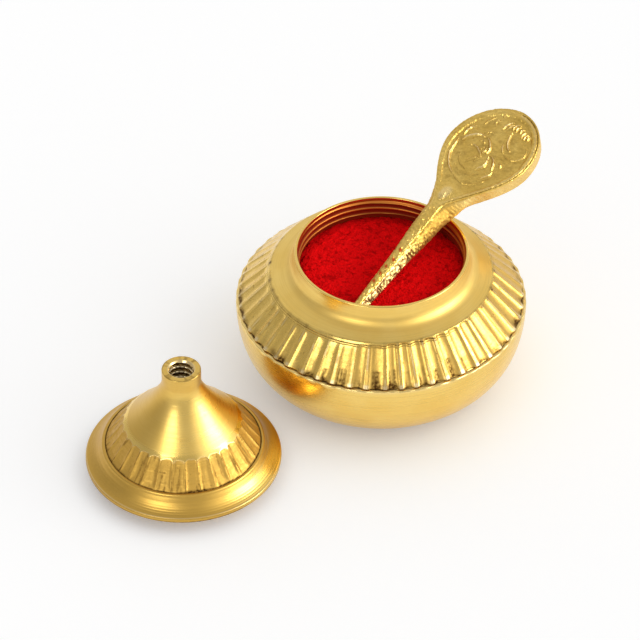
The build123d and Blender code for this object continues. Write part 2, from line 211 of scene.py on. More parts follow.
def grid_faces(rows, columns, close_rows):
    """Quads of a grid that closes on itself round its columns, and maybe round its rows."""
    j = np.arange(rows if close_rows else rows - 1)[:, None]
    i = np.arange(columns)[None, :]
    j2, i2 = (j + 1) % rows, (i + 1) % columns
    corners = [j * columns + i, j * columns + i2, j2 * columns + i2, j2 * columns + i]
    return np.stack(corners, -1).reshape(-1, 4)


def capped(name, grid, ends, marks, sharp):
    """Piece from a grid of points round a line, closed at both ends on one point each."""
    rows, columns = grid.shape[:2]
    first, second = rows * columns, rows * columns + 1
    i = np.arange(columns)
    after = (i + 1) % columns
    last = (rows - 1) * columns
    near = np.stack([np.full(columns, first), after, i], -1)
    far = np.stack([np.full(columns, second), last + i, last + after], -1)
    points = np.concatenate([grid.reshape(-1, 3), ends])
    marks = {key: np.append(np.ravel(values), [0, 0]) for key, values in marks.items()}
    fans = np.concatenate([near, far])
    return make_mesh(name, points, grid_faces(rows, columns, False), fans, marks, sharp)


def turned(name, radius, height, angle, marks, sharp=50, poles=None):
    """Turned piece from grids of radius and height: a closed ring, or closed at both ends on its axis."""
    grid = np.stack([radius * np.cos(angle), radius * np.sin(angle), height], -1)
    if poles is None:
        return make_mesh(name, grid.reshape(-1, 3), grid_faces(*radius.shape, True), (), marks, sharp)
    return capped(name, grid, [(0, 0, z) for z in poles], marks, sharp)


def joined(stretches):
    """One profile from its stretches, and the row at which each of them starts."""
    return np.concatenate(stretches), np.cumsum([0] + [len(s) for s in stretches])


def swept(profile, columns):
    """Grids of radius and height that carry a profile round its axis."""
    return np.repeat(profile[:, :1], columns, 1), np.repeat(profile[:, 1:], columns, 1)


def rows_in(count, start, end):
    """Column with 1 on the rows of a stretch of a profile and 0 elsewhere."""
    rows = np.zeros((count, 1))
    rows[start:end] = 1
    return rows


pieces = bpy.data.collections.new("pieces")


def add(piece, body, node, material, place=(0, 0, 0)):
    """Put a piece in the scene in place of a CAD node."""
    bpy.context.scene.collection.objects.link(piece)
    pieces.objects.link(piece)
    piece.location = [p * MM for p in place]
    piece.data.materials.append(material)
    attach(piece, body)
    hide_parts(node)


# Materials
class Graph:
    """Node tree of a material or world, cleared and then filled by short calls."""

    def __init__(self, owner):
        owner.use_nodes = True
        self.tree = owner.node_tree
        self.tree.nodes.clear()

    def node(self, kind, **settings):
        """New node with its settings; a name that starts with in_ is a socket's."""
        n = self.tree.nodes.new(kind)
        for key, value in settings.items():
            if key.startswith("in_"):
                n.inputs[key[3:].replace("_", " ")].default_value = value
            else:
                setattr(n, key, value)
        return n

    def put(self, value, socket):
        """Link an output to a socket, or set the socket to a number or a colour."""
        if isinstance(value, (int, float)):
            socket.default_value = value
        elif isinstance(value, tuple):
            socket.default_value = (*value, 1)
        else:
            self.tree.links.new(value, socket)

    def math(self, kind, a, b=0.0, clamp=False):
        n = self.node("ShaderNodeMath", operation=kind, use_clamp=clamp)
        self.put(a, n.inputs[0])
        self.put(b, n.inputs[1])
        return n.outputs[0]

    def times(self, a, b):
        return self.math("MULTIPLY", a, b)

    def plus(self, a, b, clamp=False):
        return self.math("ADD", a, b, clamp)

    def spread(self, value, low, high, to_low, to_high):
        """Smooth step of a value from one range to another."""
        n = self.node("ShaderNodeMapRange", interpolation_type="SMOOTHSTEP")
        keys = ("Value", "From Min", "From Max", "To Min", "To Max")
        for key, v in zip(keys, (value, low, high, to_low, to_high)):
            self.put(v, n.inputs[key])
        return n.outputs["Result"]

    def mix(self, factor, a, b):
        """Blend of two colours."""
        n = self.node("ShaderNodeMix", data_type="RGBA")
        for key, kind, v in (("Factor", "VALUE", factor), ("A", "RGBA", a), ("B", "RGBA", b)):
            self.put(v, next(s for s in n.inputs if s.name == key and s.type == kind))
        return next(s for s in n.outputs if s.type == "RGBA")

    def noise(self, place, scale, detail, roughness=0.5):
        n = self.node("ShaderNodeTexNoise", in_Scale=scale, in_Detail=detail, in_Roughness=roughness)
        self.put(place, n.inputs["Vector"])
        return n.outputs["Fac"]

    def mark(self, name):
        """Value that the mesh carries under a name."""
        return self.node("ShaderNodeAttribute", attribute_name=name).outputs["Fac"]

    def split(self, vector):
        n = self.node("ShaderNodeSeparateXYZ")
        self.put(vector, n.inputs[0])
        return n.outputs

    def bump(self, height, distance, shader):
        n = self.node("ShaderNodeBump", in_Strength=1.0, in_Distance=distance)
        self.put(height, n.inputs["Height"])
        self.put(n.outputs[0], shader.inputs["Normal"])


def brass(name, colour, dark, rough, turning, cast, pits, red=DARK_RED):
    """Brass with turning lines round its axis, a cast grain, pits, and, where the mesh marks it, soiling,
    tarnish, wear, red dust, painted shade and painted highlights.
    """
    material = bpy.data.materials.new(name)
    g = Graph(material)
    shader = g.node("ShaderNodeBsdfPrincipled", in_Metallic=1.0)
    g.put(shader.outputs[0], g.node("ShaderNodeOutputMaterial").inputs["Surface"])
    place = g.node("ShaderNodeTexCoord").outputs["Object"]
    x, y, z = g.split(place)
    radius = g.math("SQRT", g.plus(g.times(x, x), g.times(y, y)))
    along = g.times(g.math("ARCTAN2", y, x), 0.0004)
    rings = g.node("ShaderNodeCombineXYZ")
    for value, socket in zip((radius, along, z), rings.inputs):
        g.put(value, socket)
    turn = g.noise(rings.outputs[0], 2600.0, 4.0, 0.6)
    cloud = g.noise(place, 140.0, 3.0)
    grain = g.noise(place, 1500.0, 6.0, 0.65)
    spots = g.noise(place, 900.0, 2.0)
    # Marks from the mesh: real soiling, tarnish and wear, and also painted shade and painted highlights
    as_cast, grime_and_shade, stain = g.mark("cast"), g.mark("grime_and_shade"), g.mark("stain")
    dull_and_shade, satin, worn_and_highlight = g.mark("dull_and_shade"), g.mark("satin"), g.mark("worn_and_highlight")
    pit = g.times(g.spread(spots, 0.66, 0.72, 0, pits), as_cast)
    dirt_and_shade = g.times(grime_and_shade, g.spread(grain, 0.3, 0.6, 0.45, 1))
    dirt_and_shade = g.math("MAXIMUM", dirt_and_shade, pit, True)
    # Colour
    tone = g.mix(g.spread(cloud, 0.3, 0.7, 0, 1), colour, dark)
    ring = tuple(0.86 * c for c in dark)
    tone = g.mix(g.spread(turn, 0.4, 0.68, 0, turning), tone, ring)
    tone = g.mix(g.times(as_cast, g.spread(grain, 0.4, 0.75, 0, 0.5)), tone, dark)
    # Tarnish, also used as painted shade
    tone = g.mix(g.times(dull_and_shade, 0.8), tone, TARNISH_AND_SHADE)
    # Rubbed bright metal, also used as painted highlight
    tone = g.mix(worn_and_highlight, tone, BRIGHT)
    # Soiling and pits, also used as painted shade
    tone = g.mix(dirt_and_shade, tone, DIRT_AND_SHADE)
    tone = g.mix(g.spread(stain, 0.0, 0.5, 0, 1), tone, RUST)
    tone = g.mix(g.spread(stain, 0.5, 1.0, 0, 1), tone, red)
    g.put(tone, shader.inputs["Base Color"])
    # Gloss, lost where red dust lies thick
    g.put(g.spread(stain, 0.6, 1.0, 1.0, 0.2), shader.inputs["Metallic"])
    g.put(g.spread(stain, 0.6, 1.0, 0.5, 0.05), shader.inputs["Specular IOR Level"])
    polish = g.spread(turn, 0.3, 0.7, rough, rough + 0.06)
    polish = g.plus(polish, g.times(as_cast, g.spread(grain, 0.3, 0.75, 0, 0.14)))
    for mark, more in ((dull_and_shade, 0.09), (satin, 0.2), (dirt_and_shade, 0.35), (stain, 0.4)):
        polish = g.plus(polish, g.times(mark, more), True)
    g.put(polish, shader.inputs["Roughness"])
    # Fine surface
    height = g.plus(g.times(turn, turning), g.times(g.times(grain, cast), as_cast))
    height = g.math("SUBTRACT", height, g.times(pit, 0.5))
    g.bump(height, 0.00002, shader)
    return material


def powder_material():
    """Matte red powder in fine grains and clumps, with painted shade where it lies low and towards the rim.
    """
    material = bpy.data.materials.new("kumkum_powder")
    g = Graph(material)
    shader = g.node("ShaderNodeBsdfPrincipled", in_Metallic=0.0, in_Roughness=0.95)
    shader.inputs["Specular IOR Level"].default_value = 0.04
    g.put(shader.outputs[0], g.node("ShaderNodeOutputMaterial").inputs["Surface"])
    place = g.node("ShaderNodeTexCoord").outputs["Object"]
    grain = g.noise(place, 2600.0, 5.0, 0.7)
    clump = g.noise(place, 820.0, 4.0, 0.65)
    tone = g.mix(g.spread(grain, 0.32, 0.68, 0, 1), POWDER_RED, POWDER_PALE)
    tone = g.mix(g.spread(clump, 0.48, 0.66, 0, 0.8), tone, POWDER_CLUMP)
    # Painted shade where the mesh marks it
    tone = g.mix(g.mark("grime_and_shade"), tone, POWDER_SHADE)
    g.put(tone, shader.inputs["Base Color"])
    g.bump(grain, 0.0004, shader)
    return material


turned_brass = brass("turned_brass", GOLD, GOLD_DARK, 0.15, 0.4, 0.6, 0.4)
fluted_brass = brass("fluted_brass", GOLD, GOLD_DARK, 0.11, 0.4, 0.7, 0.4)
cast_brass = brass("cast_brass", CAST_GOLD, CAST_DARK, 0.24, 0.0, 1.2, 0.15, red=BRIGHT_RED)
powder = powder_material()


# Bowl
def make_bowl():
    edge_r, edge_z = BELLY_R - LIP_ROUND, LIP_Z - LIP_ROUND
    foot_r = FOOT_R - 0.3
    floor_edge = (FLOOR_IN_R, FLOOR_T)
    profile = np.concatenate([
        line((1.0, 0.0), (foot_r, 0.0), 8),
        bend((foot_r, 0), (FOOT_R + FOOT_PULL, 0), (BELLY_R, LIP_Z - BELLY_PULL), (BELLY_R, edge_z), 70),
        bend((BELLY_R, edge_z), (BELLY_R, LIP_Z - 0.12), (BELLY_R - 0.12, LIP_Z), (edge_r, LIP_Z), 6),
        chain([(edge_r, LIP_Z), (SEAT_R, LIP_Z), (SEAT_R, SEAT_Z), (BOWL_IN_R, SEAT_Z)], (3, 5, 3)),
        bend((BOWL_IN_R, SEAT_Z), (BOWL_IN_R, INNER_PULL_Z), (INNER_PULL_R, FLOOR_T), floor_edge, 30),
        line(floor_edge, (0.9, FLOOR_T), 6),
    ])
    angle = np.linspace(0, 2 * pi, 416, endpoint=False)[None, :]
    radius, height = swept(profile, angle.size)
    # The lip is nicked into shallow scallops by the flutes above it
    edge = smooth(LIP_Z - 0.9, LIP_Z - 0.1, height) * (radius > 31.3)
    nick = 0.5 + 0.5 * np.cos(POT_FLUTES * angle + 0.6 * ripple(angle, 0, 6, 3, 11, 5))
    dip = 0.13 * nick + 0.06 * ripple(31 * angle, 0, 8, 0.5, 3, 6)
    height = height - edge * dip.clip(0, 0.25)
    radius = radius - edge * 0.2 * nick
    grime_and_shade = smooth(31.5, 31.15, radius) * (height > 16.7)
    marks = {"grime_and_shade": grime_and_shade, "satin": np.full(radius.shape, 0.4), "worn_and_highlight": 0.2 * edge}
    return turned("bowl_dressed", radius, height, angle, marks, poles=(0, FLOOR_T))


# Shoulder with its flutes, neck, rim and threaded mouth
def shoulder_profile():
    """Stretches of the outline: skirt, foot of the flutes, cone, neck and rim, bore, underside."""
    skirt = line((SKIRT_IN_R, SKIRT_Z), (SKIRT_R, SKIRT_Z), 4)
    foot = np.concatenate([
        line((SKIRT_R, SKIRT_Z), (SKIRT_R, 18.9), 4),
        bend((SKIRT_R, 18.9), (SKIRT_R, 19.06), (31.2, 19.06), (31.35, 19.12), 5),
        bend((31.35, 19.12), (31.5, 19.2), (31.5, 19.3), (31.32, 19.5), 6),
    ])
    cone = chain([(31.32, 19.5), (25.68, 25.2), (FLUTE_TOP_R, FLUTE_TOP_Z)], (50, 30))
    neck = np.concatenate([
        line((FLUTE_TOP_R, FLUTE_TOP_Z), (24.25, 26.5), 4),
        line((24.25, 26.5), (21.7, 27.25), 16),
        bend((21.7, 27.25), (20.6, 27.57), (19.95, 28.25), (19.6, 29.3), 20),
        bend((19.6, 29.3), (19.35, 30.1), (19.15, 30.9), (RIM_R, 31.7), 14),
        bend((RIM_R, 31.7), (RIM_R, 31.83), (18.99, RIM_Z), (18.9, RIM_Z), 5),
        line((18.9, RIM_Z), (18.62, RIM_Z), 3),
        bend((18.62, RIM_Z), (18.53, RIM_Z), (MOUTH_R, 31.85), (MOUTH_R, BORE_TOP_Z), 5),
    ])
    bore = line((MOUTH_R, BORE_TOP_Z), (MOUTH_R, BORE_FOOT_Z), 62)
    hidden = [(MOUTH_R, BORE_FOOT_Z), (HOLLOW_R, HOLLOW_Z), (SKIRT_IN_R, LIP_Z), (SKIRT_IN_R, SKIRT_Z)]
    under = chain(hidden, (6, 8, 3))
    return [skirt, foot, cone, neck, bore, under]


def make_shoulder():
    scoops = Scoops(POT_FLUTES, 0.14, 0.35)
    profile, starts = joined(shoulder_profile())
    angle = scoops.angle[None, :]
    bearing = (angle + pi) % (2 * pi) - pi
    radius, height = swept(profile, angle.size)
    outside = rows_in(len(profile), starts[1], starts[4])
    inside = rows_in(len(profile), starts[4], starts[5])
    # Scoops, rounded off at both ends
    full = sector(bearing, (-115, -80), (40, 90))
    fade = 1 - smooth(24.6 + 1.5 * full + 0.12 * scoops.lift, 26.1 + 0.35 * full, height)
    ends = smooth(18.95, 19.2, height) * fade * outside * (radius > 23)
    depth = (0.9 + 0.3 * full) * POT_FLUTE_DEPTH * scoops.hollow(2.6, 0.02, 0.1) * (radius / FLUTE_FOOT_R)
    streaks = 0.028 * ripple(angle * 110, height * 0.4, 16, 0.6, 2.0, 21)
    streaks = streaks + 0.016 * ripple(angle * 60, height * 2.0, 14, 0.5, 2.0, 22)
    radius = radius - ends * (depth + streaks * np.sqrt(np.clip(scoops.hollow(), 0, 1)))
    # Fine tool lines across the tops of the flutes, deepest at the front left
    lines = hump(height, 25.95, 0.07) + 0.8 * hump(height, 25.62, 0.06)
    lines = lines * (0.25 + 0.75 * sector(bearing, (-165, -140), (-65, -40))) * outside * (radius > 23)
    radius = radius - 0.1 * lines
    # Turning lines on the plain shoulder and neck
    plain = outside * smooth(26.45, 26.6, height) * (1 - smooth(31.4, 31.6, height))
    radius = radius + plain * 0.006 * ripple(height * 9, 0.15 * angle, 10, 0.6, 3.0, 23)
    # Thread inside the mouth
    ridge = helix_ridge(angle, height, THREAD_PITCH, 27.6, 30.8, 0.29, 0.08)
    radius = radius - inside * THREAD_H * ridge
    # Dirt in the ends of the flutes, and brown patches at the front
    uneven = 0.5 + 0.5 * ripple(angle * 14, height * 1.3, 10, 0.7, 2.5, 24)
    left = 1 - smooth(radians(-112), radians(-80), bearing)
    reach = 20.4 + 0.5 * scoops.lift + 0.3 * left
    end_dirt = (1 - smooth(19.2, reach, height)) * (1 - 0.85 * scoops.rib(0.4)) * outside
    end_dirt = end_dirt * (1.1 + 0.3 * left)
    top_dirt = 0.7 * smooth(25.7, 26.2, height) * (1 - smooth(26.4, 26.6, height)) * outside
    top_dirt = top_dirt * (0.4 + 0.6 * scoops.rib(0.3))
    patch_top = 21.5 + 0.6 * scoops.lift
    patch = (1 - smooth(patch_top, patch_top + 0.5, height)) * outside * (radius > 27)
    patch = patch * smooth(0.14, 0.24, scoops.t) * (1 - smooth(0.6, 0.8, scoops.t))
    patch = patch * (0.3 + 0.7 * smooth(-0.4, 0.6, ripple(angle * 130, height * 0.35, 14, 0.6, 2.0, 25)))
    patch = patch * sector(bearing, (-126, -112), (-58, -44))
    crease = (hump(scoops.t, 0.12, 0.03) + hump(scoops.t, 0.89, 0.03)) * ends * smooth(0.2, 0.9, uneven)
    rib_dirt = scoops.rib(0.1) * ends * smooth(0.6, 1.2, uneven)
    grime_and_shade = (end_dirt + top_dirt) * uneven + 0.35 * rib_dirt + 0.8 * patch + 0.85 * lines + 0.5 * crease
    # Tarnish and red dust in the mouth, deepest between the ridges of the thread, with painted shade between
    # the ridges, just under the rim and deeper down
    groove = (1 - smooth(0.3, 0.9, ridge)) * (1 - smooth(30.5, 30.9, height))
    # Painted shadow of the rim: a dark line just under it
    groove = groove + 0.9 * hump(height, 31.35, 0.12)
    # Painted shade, darker deeper down the mouth
    deep = 1 - smooth(27.2, 28.6, height)
    stain = inside * (1 - smooth(31.35, 31.6, height)) * (0.5 + 0.45 * groove)
    mouth_dirt_and_shade = inside * (1 - smooth(31.4, 31.65, height)) * (0.12 + 0.35 * groove + 0.5 * deep)
    # Gloss, rubbed bright on the ribs and on their feet; the flutes toned darker, tarnish all round with
    # painted shade added at the front and right
    satin = plain * (0.8 + 0.7 * hump(height, 28.0, 0.9)) + 0.3 * ends
    # Tarnish on the flutes, and painted shade at the front and right
    dull_and_shade = ends * (0.2 + 0.5 * sector(bearing, (-125, -95), (20, 60)))
    rib_shine = 0.4 * scoops.rib(0.09) * ends * smooth(0.1, 0.9, uneven)
    at_foot = smooth(19.0, 19.2, height) * (1 - smooth(19.7, 20.1, height)) * outside
    foot_shine = 0.6 * scoops.rib(0.25) * at_foot
    marks = {"grime_and_shade": np.maximum(np.clip(grime_and_shade, 0, 1), mouth_dirt_and_shade), "cast": ends, "stain": stain,
             "satin": satin, "dull_and_shade": dull_and_shade, "worn_and_highlight": np.maximum(rib_shine, foot_shine)}
    return turned("shoulder_dressed", radius, height, angle, marks, sharp=70)


# Powder, with the furrow that the stem lies in
def make_powder():
    rows = np.concatenate([np.linspace(0.35, 18.0, 118), [18.2, POWDER_R]])
    angle = np.linspace(0, 2 * pi, 420, endpoint=False)[None, :]
    radius = np.repeat(rows[:, None], angle.size, 1)
    x, y = radius * np.cos(angle), radius * np.sin(angle)
    grains = 0.1 * ripple(x, y, 40, 5, 12, 31) + 0.05 * ripple(x, y, 60, 14, 26, 32)
    heaps = 0.12 * ripple(x, y, 12, 0.4, 1.2, 33) + 0.09 * ripple(x, y, 24, 1.5, 4.5, 34)
    height = np.minimum(POWDER_Z - 0.18 + heaps + grains, POWDER_Z + 0.1)
    bearing, rise = radians(STEM_BEARING), radians(STEM_RISE)
    along = x * cos(bearing) + y * sin(bearing) - STEM_TIP[0]
    across = -x * sin(bearing) + y * cos(bearing) - STEM_TIP[1]
    stem_x = along / cos(rise)
    deep = STEM_TIP_T + FURROW_DEEPENS * stem_x
    bottom = STEM_TIP[2] + stem_x * sin(rise) - deep * cos(rise) - FURROW_UNDER
    half = STEM_TIP_HALF + FURROW_WIDENS * np.clip(stem_x, 0, STEM_L) + FURROW_SIDE
    furrow = (1 - smooth(half, half + 0.5, np.abs(across))) * smooth(-1.6, -0.6, along)
    furrow = furrow * (1 - smooth(26, 30, along))
    height = np.where(height > bottom, height + (bottom - height) * furrow, height)
    # Hidden sides, a small gap inside the pot
    hollow = (HOLLOW_R - FILL_GAP, HOLLOW_Z - FILL_GAP)
    skirt_r, wall_r = SKIRT_IN_R - FILL_GAP, BOWL_IN_R - FILL_GAP
    pull_r, floor_r, floor_z = INNER_PULL_R - FILL_GAP, FLOOR_IN_R - FILL_GAP, FLOOR_T + FILL_GAP
    upper = [(POWDER_R, POWDER_EDGE_Z), hollow, (skirt_r, LIP_Z), (skirt_r, SEAT_Z), (wall_r, SEAT_Z)]
    sides = swept(np.concatenate([
        chain(upper, (5, 6, 3, 2)),
        bend((wall_r, SEAT_Z), (wall_r, INNER_PULL_Z), (pull_r, floor_z), (floor_r, floor_z), 20),
        line((floor_r, floor_z), (0.5, floor_z), 5),
    ]), angle.size)
    radius = np.concatenate([radius, sides[0]])
    height = np.concatenate([height, sides[1]])
    # Painted shade: darker in the furrow under the stem and towards the rim, most at the front
    low = np.clip((POWDER_Z - 0.25 - height) * 1.1, 0, 1) * (radius < 18.3)
    front = smooth(0.3, 0.95, -np.sin(angle))
    low = np.maximum(low, (0.5 + 0.4 * front) * smooth(15.8 - 1.6 * front, 18.2 - 1.0 * front, radius))
    poles = (POWDER_Z - 0.15, floor_z)
    return turned("kumkum_dressed", radius, height, angle, {"grime_and_shade": low}, sharp=180, poles=poles)


# Lid ring: threaded spigot, hollowed brim and beaded collar
def lid_ring_profile():
    """Stretches of the outline: bore, foot, thread, edge of the brim, its hollowed face, collar."""
    edge_r, wall_z, edge_z = BRIM_R - 0.25, SPIGOT_H + 0.3, BRIM_TOP + 0.06
    seat = [(COLLAR_IN_R, COLLAR_Z - 0.04), (COLLAR_IN_R, COLLAR_SEAT_Z), (RING_IN_R, COLLAR_SEAT_Z)]
    bore = chain([(RING_IN_R, COLLAR_SEAT_Z), (SPIGOT_IN_R, SPIGOT_H), (SPIGOT_IN_R, 0.0)], (6, 4))
    foot = bend((SPIGOT_IN_R, 0.0), (16.7, 0), (17.3, 0), (SPIGOT_CORE_R - 0.15, 0.0), 5)
    thread = line((SPIGOT_CORE_R, 0.1), (SPIGOT_CORE_R, SPIGOT_H), 44)
    edge = np.concatenate([
        line((SPIGOT_CORE_R, SPIGOT_H), (edge_r, SPIGOT_H), 6),
        bend((edge_r, SPIGOT_H), (BRIM_R - 0.1, SPIGOT_H), (BRIM_R, SPIGOT_H + 0.1), (BRIM_R, wall_z), 4),
        bend((BRIM_R, wall_z), (BRIM_R, BRIM_TOP - 0.02), (BRIM_R - 0.02, BRIM_TOP), (edge_r, edge_z), 8),
    ])
    face = bend((edge_r, edge_z), (20.0, 4.42), (18.85, 5.3), (18.2, 6.4), 36)
    collar = np.concatenate([
        bend((18.2, 6.4), (18.05, 6.65), (17.85, 6.9), (COLLAR_R, 7.1), 6),
        bend((COLLAR_R, 7.1), (17.66, 7.35), (17.5, COLLAR_Z), (17.3, COLLAR_Z), 8),
        chain([(17.3, COLLAR_Z), *seat], (3, 4, 4)),
    ])
    return [bore, foot, thread, edge, face, collar]


def make_lid_ring():
    profile, starts = joined(lid_ring_profile())
    angle = np.linspace(0, 2 * pi, 384, endpoint=False)[None, :]
    radius, height = swept(profile, angle.size)
    on_thread = rows_in(len(profile), starts[2], starts[3])
    on_face = rows_in(len(profile), starts[4], starts[5])
    radius = radius + on_thread * THREAD_H * helix_ridge(angle, height, THREAD_PITCH, 0.75, 2.15)
    height = height + on_face * 0.012 * ripple(radius * 9, 0.2 * angle, 10, 0.6, 3.0, 41)
    # Dirt in the seam at the dome's foot and on the brim's wall; painted shade in a line just under the
    # brim's top edge and over the left side
    seam = smooth(17.05, 16.92, radius) * (height > 6.4) * (radius > 16.8) * (0.3 + 0.7 * front_right(angle))
    uneven = 0.5 + 0.5 * ripple(angle * 9, height, 10, 0.5, 2.0, 42)
    wall = (radius > BRIM_R - 0.4) * (1 - smooth(SPIGOT_H + 0.1, SPIGOT_H + 0.6, height))
    grime_and_shade = np.maximum(seam, wall * (0.35 + 0.6 * uneven).clip(0, 1))
    # Painted shade: a dark line just under the top edge
    grime_and_shade = grime_and_shade + 0.5 * hump(height, BRIM_TOP - 0.2, 0.07) * (radius > BRIM_R - 0.1)
    # Painted shade: darker towards the left side
    grime_and_shade = np.clip(grime_and_shade + 0.1 * smooth(0.2, 0.9, -np.cos(angle)), 0, 1)
    # Painted highlight: a bright line along the top edge
    worn_and_highlight = 0.4 * hump(radius, BRIM_R - 0.2, 0.09) * (height > BRIM_TOP - 0.1)
    # Tarnish and painted shade: the ring toned darker, except on the brim at the front right, where the
    # light falls
    dull_and_shade = 1 - 0.75 * smooth(0.75, 1.0, np.cos(angle + radians(22))) * (radius > 18.2)
    marks = {"grime_and_shade": grime_and_shade, "dull_and_shade": dull_and_shade, "satin": np.full(radius.shape, 0.3), "worn_and_highlight": worn_and_highlight}
    return turned("lid_ring_dressed", radius, height, angle, marks, sharp=40)


# Lid dome: fluted band, smooth bell and knob with a threaded hole
BAND_SLOPE = (DOME_BASE_R - DOME_FOOT_R) / (DOME_FOOT_Z - BAND_Z)


def lid_dome_profile():
    """Stretches of the outline: fluted band, bell with neck and knob, threaded hole, inside."""
    foot, neck = (DOME_FOOT_R, DOME_FOOT_Z), (LID_NECK_R, LID_NECK_Z)
    band_top = (DOME_FOOT_R + 0.9 * BAND_SLOPE, DOME_FOOT_Z - 0.9)
    foot_pull = (DOME_FOOT_R - BELL_PULL_R, DOME_FOOT_Z + BELL_PULL_Z)
    brow, top_r = (LID_NECK_R, LID_TOP_Z - 0.3), LID_NECK_R - 0.3
    bevel_r, bevel_z = SOCKET_R + SOCKET_BEVEL, LID_TOP_Z - SOCKET_BEVEL
    band = np.concatenate([
        line((DOME_IN_R, DOME_Z), (16.8, DOME_Z), 4),
        line((DOME_BASE_R, 6.53), (DOME_BASE_R, BAND_Z), 4),
        line((DOME_BASE_R, BAND_Z), band_top, 46),
    ])
    bell = np.concatenate([
        line(band_top, foot, 14),
        bend(foot, foot_pull, (LID_NECK_R, LID_NECK_Z - NECK_PULL), neck, 80),
        line(neck, brow, 24),
        bend(brow, (LID_NECK_R, LID_TOP_Z - 0.1), (LID_NECK_R - 0.1, LID_TOP_Z), (top_r, LID_TOP_Z), 6),
        line((top_r, LID_TOP_Z), (bevel_r, LID_TOP_Z), 6),
        line((bevel_r, LID_TOP_Z), (SOCKET_R, bevel_z), 4),
    ])
    socket = line((SOCKET_R, bevel_z), (SOCKET_R, SOCKET_Z), 110)
    inner = chain([(SOCKET_R + 0.1, SOCKET_Z), (11.2, 12.05), (DOME_IN_R, DOME_Z)], (12, 10))
    return [band, bell, socket, inner]


def make_lid_dome():
    scoops = Scoops(LID_FLUTES, 0.08, 0.25, turn=0.05)
    profile, starts = joined(lid_dome_profile())
    angle = scoops.angle[None, :]
    radius, height = swept(profile, angle.size)
    bare_radius = profile[:, :1]
    outside = rows_in(len(profile), 4, starts[2] - 16)
    in_socket = rows_in(len(profile), starts[2], starts[3])
    # The smooth bell, carried on downwards, cuts the scoops off in arches
    bell_line = DOME_FOOT_R + (DOME_FOOT_Z - height) / tan(radians(BELL_RISE))
    rib_line = DOME_BASE_R - (height - BAND_Z) * BAND_SLOPE
    near_foot = (0.1 + 0.9 * smooth(BAND_Z, BAND_Z + 1.2, height)) * (1 - 0.4 * smooth(10.5, 12.5, height))
    hollow = LID_FLUTE_DEPTH * near_foot * scoops.hollow(4.5, 0.012, 0.04) * (rib_line / DOME_BASE_R)
    streaks = 0.022 * ripple(angle * 50, height * 0.8, 16, 0.6, 2.4, 51)
    streaks = streaks + 0.009 * ripple(height * 9, angle * 3, 10, 0.6, 2, 52)
    scoop_line = rib_line - hollow + streaks * (1 - scoops.rib(0.12))
    arch_line = bell_line + 0.2 * scoops.lift
    below = height < DOME_FOOT_Z
    on_band = outside * (height > BAND_Z - 0.05) * (height < DOME_FOOT_Z + 1.5)
    wanted = np.minimum(np.where(below, arch_line, radius), scoop_line)
    radius = np.where((on_band > 0) & (wanted < radius + 1e-6), wanted, radius)
    in_scoop = on_band * smooth(-0.03, 0.05, np.where(below, bell_line, bare_radius) - scoop_line)
    # Turning lines on the bell, and the thread in the knob's hole
    plain = outside * smooth(DOME_FOOT_Z + 0.6, DOME_FOOT_Z + 1.2, height)
    radius = radius + plain * 0.005 * ripple(height * 8, 0.2 * angle, 10, 0.6, 3.0, 53)
    low, high = SOCKET_Z - 0.5, LID_TOP_Z + 1.0
    groove = in_socket * helix_ridge(angle, height, SOCKET_PITCH, low, high, 0.42, 0.24)
    radius = radius + SOCKET_H * groove
    # Dirt in the seam, the flutes and on the knob's top; painted shade in the grooves of the thread and
    # deeper down the knob's hole
    uneven = 0.5 + 0.5 * ripple(angle * 9, height * 1.3, 10, 0.7, 2.5, 54)
    seam = (1 - smooth(7.45, 7.6 + 0.25 * uneven, height)) * outside * (0.5 + 0.6 * uneven)
    grime_and_shade = seam * (0.4 + 0.6 * front_right(angle)) + groove + 0.1 * in_scoop
    grime_and_shade = grime_and_shade + 0.4 * in_scoop * smooth(0.5, 1.3, ripple(angle * 60, height * 0.5, 16, 0.6, 2.4, 55))
    grime_and_shade = grime_and_shade + 0.6 * scoops.rib(0.05) * in_scoop * smooth(0.3, 0.9, uneven)
    top = smooth(LID_TOP_Z - 0.35, LID_TOP_Z - 0.05, height) * (radius > SOCKET_R + 0.5)
    top_edge = 0.6 * smooth(LID_NECK_R - 0.5, LID_NECK_R - 0.1, radius) - 0.2
    grime_and_shade = grime_and_shade + 0.5 * top * smooth(0.3, 1.0, uneven + top_edge)
    # Painted shade, darker deeper down the hole
    grime_and_shade = grime_and_shade + 0.8 * in_socket * (1 - smooth(21.5, 23.5, height))
    # Painted highlight on the crests of the thread and its bevel; the edges of the arches rubbed bright
    bevel = rows_in(len(profile), starts[2] - 4, len(profile)) * (height > LID_TOP_Z - 0.5)
    worn_and_highlight = np.clip(0.9 * in_socket + 0.4 * bevel, 0, 0.9) * (1 - groove) * (height > 21.5)
    gap = np.where(below, arch_line, bare_radius) - scoop_line
    worn_and_highlight = np.maximum(worn_and_highlight, 0.2 * hump(gap, 0, 0.05) * on_band)
    # The neck and knob toned darker, and the flutes tarnished
    dull_and_shade = np.maximum(0.5 * smooth(22.5, 25.5, height), in_scoop)
    # Painted shade: the bell toned darker towards its left side
    dull_and_shade = np.maximum(dull_and_shade, plain * (0.15 + 0.55 * smooth(0.2, 0.9, -np.cos(angle))))
    satin = np.maximum(0.7 * plain, 0.9 * in_scoop)
    marks = {"grime_and_shade": np.clip(grime_and_shade, 0, 1), "cast": in_scoop, "dull_and_shade": dull_and_shade, "satin": satin, "worn_and_highlight": worn_and_highlight}
    return turned("lid_dome_dressed", radius, height, angle, marks, sharp=48)


